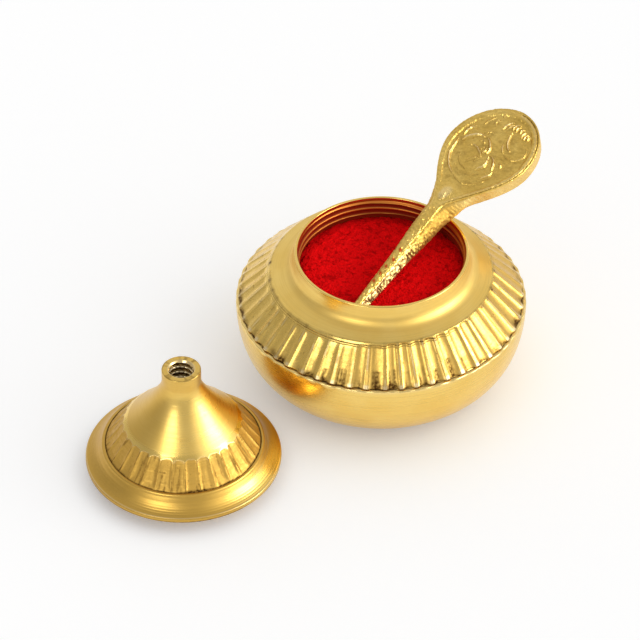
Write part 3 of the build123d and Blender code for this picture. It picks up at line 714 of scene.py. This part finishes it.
# Applicator: the strokes of its relief, each as points along and across the leaf, half width and height
STROKES = [
    ([(9.3, 2.6), (9.8, 3.6), (10.6, 4.7), (12.0, 5.95), (13.5, 6.9), (15.0, 7.3), (16.5, 7.5), (17.9, 7.9)],
     0.24, 0.42),
    ([(19.4, 7.6), (20.8, 7.75), (22.1, 7.35), (23.2, 6.3)], 0.22, 0.34),
    ([(9.3, 2.6), (8.7, 1.4), (8.2, -0.5), (8.6, -2.2), (9.8, -3.6), (11.4, -4.6)], 0.18, 0.2),
    ([(18.2, 6.9), (19.1, 6.65), (20.0, 6.1), (21.0, 5.2), (21.55, 4.1), (21.5, 3.1)], 0.3, 0.46),
    ([(21.6, 2.4), (21.1, 1.6), (20.5, 0.9), (19.5, 0.1), (18.6, -0.25), (17.8, -0.2)], 0.24, 0.44),
    ([(17.9, 4.5), (18.3, 3.6), (18.1, 2.6), (17.5, 1.7), (17.1, 1.0), (16.3, 0.4)], 0.22, 0.36),
    ([(18.2, 1.75), (18.9, 1.4), (18.9, 0.8), (18.3, 0.5), (17.6, 0.7), (17.6, 1.3), (18.2, 1.75)],
     0.18, 0.3),
    ([(19.9, 3.4), (20.4, 2.9), (20.2, 2.2), (19.5, 2.0)], 0.2, 0.26),
    ([(13.5, 2.3), (14.6, 1.9), (15.8, 1.2), (15.6, 0.6), (14.6, 0.9)], 0.3, 0.22),
    ([(12.9, -0.9), (13.7, -1.35), (14.4, -1.95), (15.3, -1.95), (16.3, -1.6), (17.4, -1.15)], 0.22, 0.46),
    ([(10.9, -3.2), (12.0, -3.9), (13.2, -4.6), (14.4, -4.55)], 0.2, 0.34),
    ([(14.6, -4.1), (15.5, -3.75), (16.4, -3.3), (17.2, -2.6), (17.7, -1.8)], 0.24, 0.44),
    ([(16.2, -5.2), (16.9, -4.9), (17.2, -4.3)], 0.2, 0.3),
    ([(19.9, -3.1), (20.5, -2.5), (21.2, -2.0), (22.2, -1.6)], 0.2, 0.36),
    ([(21.1, -4.1), (21.5, -3.3), (22.1, -2.7), (23.1, -2.1), (24.5, -1.55), (25.6, -1.35)], 0.24, 0.46),
    ([(19.6, -3.6), (19.2, -4.7), (19.3, -6.0), (20.0, -7.2), (21.4, -7.8), (22.7, -7.5), (23.6, -6.8)],
     0.18, 0.26),
    ([(25.2, 1.2), (26.2, 1.15), (27.3, 0.75), (28.1, 0.2)], 0.24, 0.42),
    ([(26.0, 0.35), (26.9, 0.1), (27.7, -0.4)], 0.2, 0.36),
    ([(26.2, -0.9), (27.0, -0.75), (27.8, -1.05), (28.3, -1.7)], 0.2, 0.4),
    ([(26.3, -1.8), (27.1, -1.6), (27.9, -2.0)], 0.18, 0.38),
    ([(26.4, -2.8), (27.2, -2.7), (27.8, -3.2)], 0.18, 0.36),
    ([(25.5, -3.9), (26.4, -3.6), (27.3, -3.9)], 0.2, 0.38),
    ([(25.4, -4.7), (26.2, -4.5), (27.0, -4.9)], 0.22, 0.42),
    ([(25.5, -5.5), (26.2, -5.3), (26.9, -5.7)], 0.2, 0.4),
    ([(25.3, 3.1), (26.0, 3.7), (26.8, 3.5), (27.0, 2.8)], 0.18, 0.28),
    ([(28.3, 3.2), (29.0, 3.5), (29.5, 3.0), (29.2, 2.4)], 0.2, 0.28),
    ([(22.3, 3.9), (23.0, 3.4), (23.4, 2.6), (23.0, 1.9)], 0.2, 0.24),
    ([(11.8, 1.2), (12.3, 2.8), (13.4, 4.2), (14.8, 5.1)], 0.2, 0.14),
    ([(10.6, 0.2), (11.2, -1.2), (12.2, -2.3)], 0.2, 0.14),
    ([(24.2, 5.6), (25.2, 5.5), (26.2, 5.0), (27.2, 4.6)], 0.24, 0.24),
]

# Points across the top, down each side and across the underside
TOPS, SIDES, UNDERS = 184, 30, 44


def leaf_half(u):
    """Half width of the leaf at a distance from the neck, from the same curves as the CAD leaf."""
    start, widest = (0, STEM_NECK_HALF), (HEAD_WIDEST, HEAD_W / 2)
    pull = (HEAD_WIDEST - FLANK_PULL, HEAD_W / 2)
    flank = np.concatenate([bend(start, (NECK_SWEEP, STEM_NECK_HALF), pull, widest, 400), [widest]])
    end = HEAD_W / 2 * np.sqrt(np.clip(1 - ((u - HEAD_WIDEST) / (HEAD_L - HEAD_WIDEST)) ** 2, 0, 1))
    return np.where(u < HEAD_WIDEST, np.interp(u, flank[:, 0], flank[:, 1]), end)


def stroke_height(u, v, points, width, height):
    """Rounded ridge along a line of points, thinner at both ends."""
    points = np.array(points)
    t = np.linspace(0, len(points) - 1, 4 * len(points))
    dense = np.stack([np.interp(t, np.arange(len(points)), points[:, k]) for k in (0, 1)], -1)
    result = np.zeros(u.shape)
    for a, b, mid in zip(dense[:-1], dense[1:], np.linspace(0, 1, len(dense) - 1)):
        d = b - a
        s = np.clip(((u - a[0]) * d[0] + (v - a[1]) * d[1]) / (d @ d), 0, 1)
        away = np.hypot(u - a[0] - s * d[0], v - a[1] - s * d[1])
        swell = sin(pi * mid)
        ridge = height * (0.55 + 0.45 * swell) * hump(away, 0, width * (0.7 + 0.5 * swell))
        result = np.maximum(result, ridge)
    return result


def leaf_relief(u, v, half):
    """Relief of the top face, with its sunk field, edge groove, bead, ornament and facet."""
    inner = half[:, None] - np.abs(v)
    end = np.hypot((u - HEAD_WIDEST) / (HEAD_L - HEAD_WIDEST), v / (HEAD_W / 2))
    rim = np.where(u > HEAD_WIDEST, np.minimum(inner, 9.5 * (1 - end)), inner)
    field = smooth(1.2, 1.75, rim) * smooth(4.5, 8.5, u)
    right = np.where(v < 0, 1.0, 0.15) * smooth(-2.0, 4.0, u)
    groove = hump(rim, 0.42, 0.11) * right
    bead = hump(rim, 0.85, 0.2) * right
    ornament = np.zeros(u.shape)
    for points, width, height in STROKES:
        ornament = np.maximum(ornament, stroke_height(u, v, points, 0.85 * width, 1.25 * height))
    medal = 1 - smooth(6.3, 7.0, np.hypot(u - 15.0, v - 1.5))
    # Small raised facet at the neck
    facet = np.clip(np.where(u < 3.2, (u - 1.4) / 1.8, 1 - (u - 3.2) / 3.6), 0, 1)
    facet = facet * np.clip(1 - np.abs(v - 0.4) / (0.5 + 0.3 * np.clip(u, 0, 6)), 0, 1)
    rough_cast = 0.04 * ripple(u, v, 40, 2.5, 7, 61) + 0.025 * ripple(u, v, 50, 8, 18, 62)
    relief = (ornament + 0.12 * medal - 0.32) * field - 0.16 * groove + 0.1 * bead + 0.7 * facet
    relief = relief + rough_cast * np.where(u < 0, 2.0, 1.0)
    return relief, field, groove, bead, ornament, facet


def long_side(hand, x, half, corner, depth, cheek):
    """Heights, offsets and notches of a long side, from its top down; hand is 1 for left, -1 for right."""
    u = x - STEM_L
    down = np.linspace(0, 1, SIDES + 2)[1:-1]
    z = -(corner[:, None] + (depth - 2 * corner)[:, None] * down[None, :])
    long = x[:, None]
    ridge = depth[:, None] / 2
    deep = -z / ridge
    # Cast on the stem, filed along the leaf
    bulge = 0.08 * ripple(long * 1.3, z, 16, 0.8, 3.0, 63 + hand)
    coarse = 0.035 * ripple(long, z, 40, 3.5, 9.0, 73 + hand) * (1 + smooth(-16, -8, u))[:, None]
    filed = 0.03 * ripple(long, 0.35 * z, 24, 9.0, 20.0, 76 + hand)
    coarse = coarse + (filed - coarse) * smooth(0, 6, u)[:, None]
    # Notches of a screw thread, partly worn away
    turns = long - 0.33 * z + 0.35 * hand + 0.4 * ripple(long, z, 10, 0.6, 2.4, 65 + hand)
    cut = (0.5 + 0.5 * np.cos(2 * pi * turns / NOTCH_PITCH)) ** 3
    cut = cut * (smooth(2.0, 4.0, x) * (1 - smooth(STEM_L - 8, STEM_L - 2, x)))[:, None]
    cut = cut * (0.6 + 0.7 * ripple(long * 2, z * 2, 10, 0.6, 2.4, 66 + hand)).clip(0, 1)
    cut = cut * smooth(0.25, 0.6, deep) * (1 - smooth(1.1, 1.5, deep))
    # The cheeks are flat along the stem, round at the neck, and fuller there on the right
    full = cheek + (0.9 * hump(u, 2.5, 3.5) if hand < 0 else 0)
    roundness = (1 + smooth(-16, -5, u))[:, None]
    out = full[:, None] * (1 - (np.abs(z + ridge) / ridge) ** roundness)
    out = out + bulge.clip(-0.12, 0.0) * np.where(u < 0, 0.4, 1.0)[:, None]
    out = out + coarse * smooth(0, 0.25, deep) - 0.26 * cut
    return z, hand * (half[:, None] + out), cut


def edge_share(v, half, corner):
    """How far a point lies across the rounded edge, from 0 to 1."""
    return np.clip((np.abs(v) - (half - corner)[:, None]) / corner[:, None], 0, 1)


def laid(long, v, z):
    """Points in place: the leaf leans away from the stem, which rises from its tip on its bearing."""
    past = long - STEM_L
    lean = radians(HEAD_TURN) * smooth(-4, 5, past)
    flat_x = np.where(past > -4, STEM_L + past * np.cos(lean) - v * np.sin(lean), long)
    flat_y = np.where(past > -4, past * np.sin(lean) + v * np.cos(lean), v)
    rise, bearing = radians(STEM_RISE), radians(STEM_BEARING)
    level_x = flat_x * cos(rise) - z * sin(rise) + STEM_TIP[0]
    level_y = flat_y + STEM_TIP[1]
    level_z = flat_x * sin(rise) + z * cos(rise) + STEM_TIP[2]
    x = level_x * cos(bearing) - level_y * sin(bearing)
    y = level_x * sin(bearing) + level_y * cos(bearing)
    return np.stack([x, y, level_z], -1)


def make_applicator():
    blunt = 26.0
    end = blunt + (HEAD_L - blunt) * np.sin(np.linspace(0, pi / 2, 70))[1:]
    leaf = np.concatenate([np.linspace(0, blunt, 220)[1:], end])
    x = np.concatenate([np.linspace(0, STEM_L, 210), STEM_L + leaf])
    x[-1] -= 0.01
    u = x - STEM_L
    stem_half = STEM_TIP_HALF + (STEM_NECK_HALF - STEM_TIP_HALF) * x / STEM_L
    half = np.where(u < 0, stem_half, leaf_half(u))
    stem_depth = STEM_TIP_T + (STEM_NECK_T - STEM_TIP_T) * x / STEM_L
    keel_depth = STEM_NECK_T + (HEAD_T - STEM_NECK_T) * np.clip(u, 0, KEEL_L) / KEEL_L
    depth = np.where(u < 0, stem_depth, keel_depth)
    edge_depth = np.where(u < 0, depth, HEAD_T + (depth - HEAD_T) * (1 - smooth(0, 5, u)))
    stem_cheek = STEM_TIP_CHEEK + (STEM_NECK_CHEEK - STEM_TIP_CHEEK) * x / STEM_L
    cheek = np.where(u < 0, stem_cheek, STEM_NECK_CHEEK * (1 - smooth(0, 8, u)))
    corner = np.minimum(0.32, 0.45 * half)
    right_z, right_v, right_cut = long_side(-1, x, half, corner, edge_depth, cheek)
    left_z, left_v, left_cut = long_side(1, x, half, corner, edge_depth, cheek)
    # Top, whose long edges the notches also bite
    across = np.sin(np.linspace(-pi / 2, pi / 2, TOPS)) * 0.35 + np.linspace(-1, 1, TOPS) * 0.65
    top_v = -across[None, :] * half[:, None]
    top_u = np.repeat(u[:, None], TOPS, 1)
    relief, field, groove, bead, ornament, facet = leaf_relief(top_u, top_v, half)
    bite_right = right_cut.max(1, keepdims=True) * smooth(0.3, 1.0, across)[None, :] * (top_u < 0)
    bite_left = left_cut.max(1, keepdims=True) * smooth(0.0, 1.0, -across)[None, :] * (top_u < 0)
    round_off = corner[:, None] * (1 - np.sqrt(1 - edge_share(top_v, half, corner) ** 2))
    top_z = relief - round_off - 0.12 * np.clip(bite_right + bite_left, 0, 1)
    # Underside, all keel along the stem and with a keel of the stem's width under the leaf
    under_v = np.linspace(-1, 1, UNDERS)[None, :] * half[:, None]
    keel_half = np.where(u < 0, np.inf, STEM_NECK_HALF)[:, None]
    keel_way = 1 - smooth(0.75, 1.25, np.abs(under_v) / keel_half)
    under_edge = edge_share(under_v, half, corner)
    under_z = corner[:, None] * (1 - np.sqrt(1 - under_edge**2)) - edge_depth[:, None]
    under_z = under_z - (depth - edge_depth)[:, None] * keel_way
    under_z = under_z + 0.03 * ripple(x[:, None], under_v, 30, 2, 6, 69) * (1 - under_edge)
    v = np.concatenate([top_v, right_v, under_v, left_v[:, ::-1]], 1)
    z = np.concatenate([top_z, right_z, under_z, left_z[:, ::-1]], 1)
    long = np.repeat(x[:, None], v.shape[1], 1)
    points = laid(long, v, z)
    # Dirt in the relief and the notches, with painted shadow round the foot of the ornament; red dust on the
    # stem; bright where hands touch it, with painted highlight down the right side and on the crests
    right_side = slice(TOPS, TOPS + SIDES)
    left_side = slice(TOPS + SIDES + UNDERS, None)
    low, red, dull_and_shade, satin, worn_and_highlight = (np.zeros(v.shape) for _ in range(5))
    hollow = 0.06 + 0.22 * smooth(0.1, 1.2, ripple(top_u, top_v, 20, 1, 3, 71))
    hollow = hollow * field * hump(ornament, 0, 0.06)
    # Painted shadow: a dark outline round the foot of each stroke
    outline = field * hump(ornament, 0.09, 0.05)
    low[:, :TOPS] = np.clip(hollow + 0.5 * outline + groove * 0.75 + 0.3 * np.clip(bite_left, 0, 1), 0, 1)
    low[:, right_side] = np.clip(0.9 * right_cut, 0, 1)
    low[:, left_side] = np.clip(0.9 * left_cut[:, ::-1], 0, 1)
    for at, off in ((18.3, -0.1), (15.4, -0.3), (12.9, 0.15), (10.7, 0.2), (8.3, 0.25)):
        speck = hump(top_u + STEM_L - 0.5 * top_v, at, 0.42) * hump(top_v, off, 0.4)
        red[:, :TOPS] += 0.95 * speck
    red[:, :TOPS] += 0.5 * smooth(0.6, 0.95, -across)[None, :] * (1 - smooth(9, 20, x))[:, None]
    red = np.maximum(red, 0.9 * (1 - smooth(2, 6, long)) * (z < -2.0)).clip(0, 1)
    # Tarnish and painted shade on the sides, most towards the neck, none on the leaf
    dull_and_shade[:, TOPS:] = (0.3 + 0.6 * smooth(-18, -6, u) - 0.9 * smooth(-1, 6, u))[:, None]
    satin[:, TOPS:] = smooth(-14, -4, u)[:, None]
    # Painted highlight down the right side, near the tip and along the leaf's edge
    worn_and_highlight[:, right_side] = (0.25 * (1 - smooth(-20, -8, u)) + 0.2 * smooth(1, 6, u))[:, None]
    # Crests of the ornament, the bead and the facet lighter, as wear and painted highlight
    crests = 0.4 * field * smooth(0.22, 0.42, ornament) + 0.2 * bead
    worn_and_highlight[:, :TOPS] = np.maximum(crests, 0.25 * smooth(0.1, 0.4, facet))
    marks = {"grime_and_shade": low, "cast": np.ones(v.shape), "stain": red, "dull_and_shade": dull_and_shade, "satin": satin,
             "worn_and_highlight": worn_and_highlight}
    return capped("applicator_dressed", points, [points[0].mean(0), points[-1].mean(0)], marks, 60)


add(make_bowl(), "pot", "bowl", turned_brass)
add(make_shoulder(), "pot", "shoulder", fluted_brass)
add(make_powder(), "pot", "kumkum", powder)
add(make_lid_ring(), "lid", "lid_ring", turned_brass, (*LID_AXIS, 0))
add(make_lid_dome(), "lid", "lid_dome", fluted_brass, (*LID_AXIS, 0))
add(make_applicator(), "applicator", "applicator", cast_brass)


# Floor, light and camera, in metres
FLOOR_HALF, FLOOR_DROP, FLOOR_COLOUR = 4.0, 0.0001, (0.86, 0.86, 0.86, 1)
FLOOR_GLOW, SHADE_REACH, SHADE_LEAST = 0.35, 0.014, 0.65
RIGHT_WAY, LEFT_WAY, LAMP_FAR = (0.857, -0.214, 0.469), (-0.43, -0.69, 0.58), 0.9
EYE, LOOK_DOWN, LENS = (-0.013464, -0.690923, 0.605993), 40.686, 231.45


def make_stage():
    mesh = bpy.data.meshes.new("floor")
    corners = [(x * FLOOR_HALF, y * FLOOR_HALF, 0) for x, y in ((-1, -1), (1, -1), (1, 1), (-1, 1))]
    mesh.from_pydata(corners, [], [(0, 1, 2, 3)])
    floor = bpy.data.objects.new("floor", mesh)
    floor.location.z = -FLOOR_DROP
    bpy.context.scene.collection.objects.link(floor)
    material = bpy.data.materials.new("pale_floor")
    g = Graph(material)
    path = g.node("ShaderNodeLightPath").outputs
    seen = g.math("MAXIMUM", path["Is Glossy Ray"], path["Is Transmission Ray"])
    seen = g.math("MAXIMUM", seen, path["Is Camera Ray"])
    # The glow fades under the object, and the brass throws none of it back on to the floor
    seen = g.times(seen, g.math("LESS_THAN", path["Diffuse Depth"], 0.5))
    shade = g.node("ShaderNodeAmbientOcclusion", samples=12, in_Distance=SHADE_REACH).outputs["AO"]
    seen = g.times(seen, g.spread(shade, 0.0, 1.0, SHADE_LEAST, 1.0))
    glow = g.node("ShaderNodeEmission")
    g.put(g.times(seen, FLOOR_GLOW), glow.inputs["Strength"])
    both = g.node("ShaderNodeAddShader")
    g.put(g.node("ShaderNodeBsdfDiffuse", in_Color=FLOOR_COLOUR).outputs[0], both.inputs[0])
    g.put(glow.outputs[0], both.inputs[1])
    g.put(both.outputs[0], g.node("ShaderNodeOutputMaterial").inputs["Surface"])
    mesh.materials.append(material)


def softbox(name, direction, width, height, radiance):
    """Area lamp of a given brightness that faces the object and lights only its pieces."""
    lamp = bpy.data.lights.new(name, "AREA")
    lamp.shape, lamp.size, lamp.size_y = "RECTANGLE", width, height
    lamp.energy = radiance * pi * width * height
    holder = bpy.data.objects.new(name, lamp)
    bpy.context.scene.collection.objects.link(holder)
    way = np.array(direction, float) / np.linalg.norm(direction)
    holder.location = way * LAMP_FAR
    holder.rotation_euler = Vector(way).to_track_quat("Z", "Y").to_euler()
    holder.light_linking.receiver_collection = pieces


def make_world():
    world = bpy.data.worlds.new("studio")
    bpy.context.scene.world = world
    g = Graph(world)
    way = g.node("ShaderNodeTexCoord").outputs["Generated"]
    x, y, z = g.split(way)
    # Darkest on the left, dim overhead, pale behind the object
    level = g.times(g.spread(y, -0.3, 0.8, 0.72, 1.0), g.spread(z, 0.75, 0.98, 1.0, 0.85))
    left = g.times(g.spread(x, -0.8, -0.48, 0.25, 0.0), g.spread(y, -0.75, -0.3, 0.0, 1.0))
    level = g.times(level, g.math("SUBTRACT", 1.0, left))
    # Pale wall round the lamp on the right
    wall = g.node("ShaderNodeVectorMath", operation="DOT_PRODUCT")
    g.put(way, wall.inputs[0])
    wall.inputs[1].default_value = RIGHT_WAY
    level = g.plus(level, g.spread(wall.outputs["Value"], 0.7, 0.97, 0.0, 1.2))
    back = g.node("ShaderNodeBackground")
    g.put(level, back.inputs["Strength"])
    g.put(back.outputs[0], g.node("ShaderNodeOutputWorld").inputs["Surface"])


def make_camera():
    camera = bpy.data.cameras.new("camera")
    camera.lens = LENS
    camera.sensor_width = 36.0
    camera.clip_start, camera.clip_end = 0.01, 20
    eye = bpy.data.objects.new("camera", camera)
    eye.location = EYE
    eye.rotation_euler = (radians(90 - LOOK_DOWN), 0, 0)
    bpy.context.scene.collection.objects.link(eye)
    bpy.context.scene.camera = eye


make_stage()
make_world()
softbox("soft_right", RIGHT_WAY, 0.44, 0.46, 6.0)
softbox("soft_left", LEFT_WAY, 0.34, 0.46, 3.0)
make_camera()
bpy.context.scene.view_settings.view_transform = "Standard"
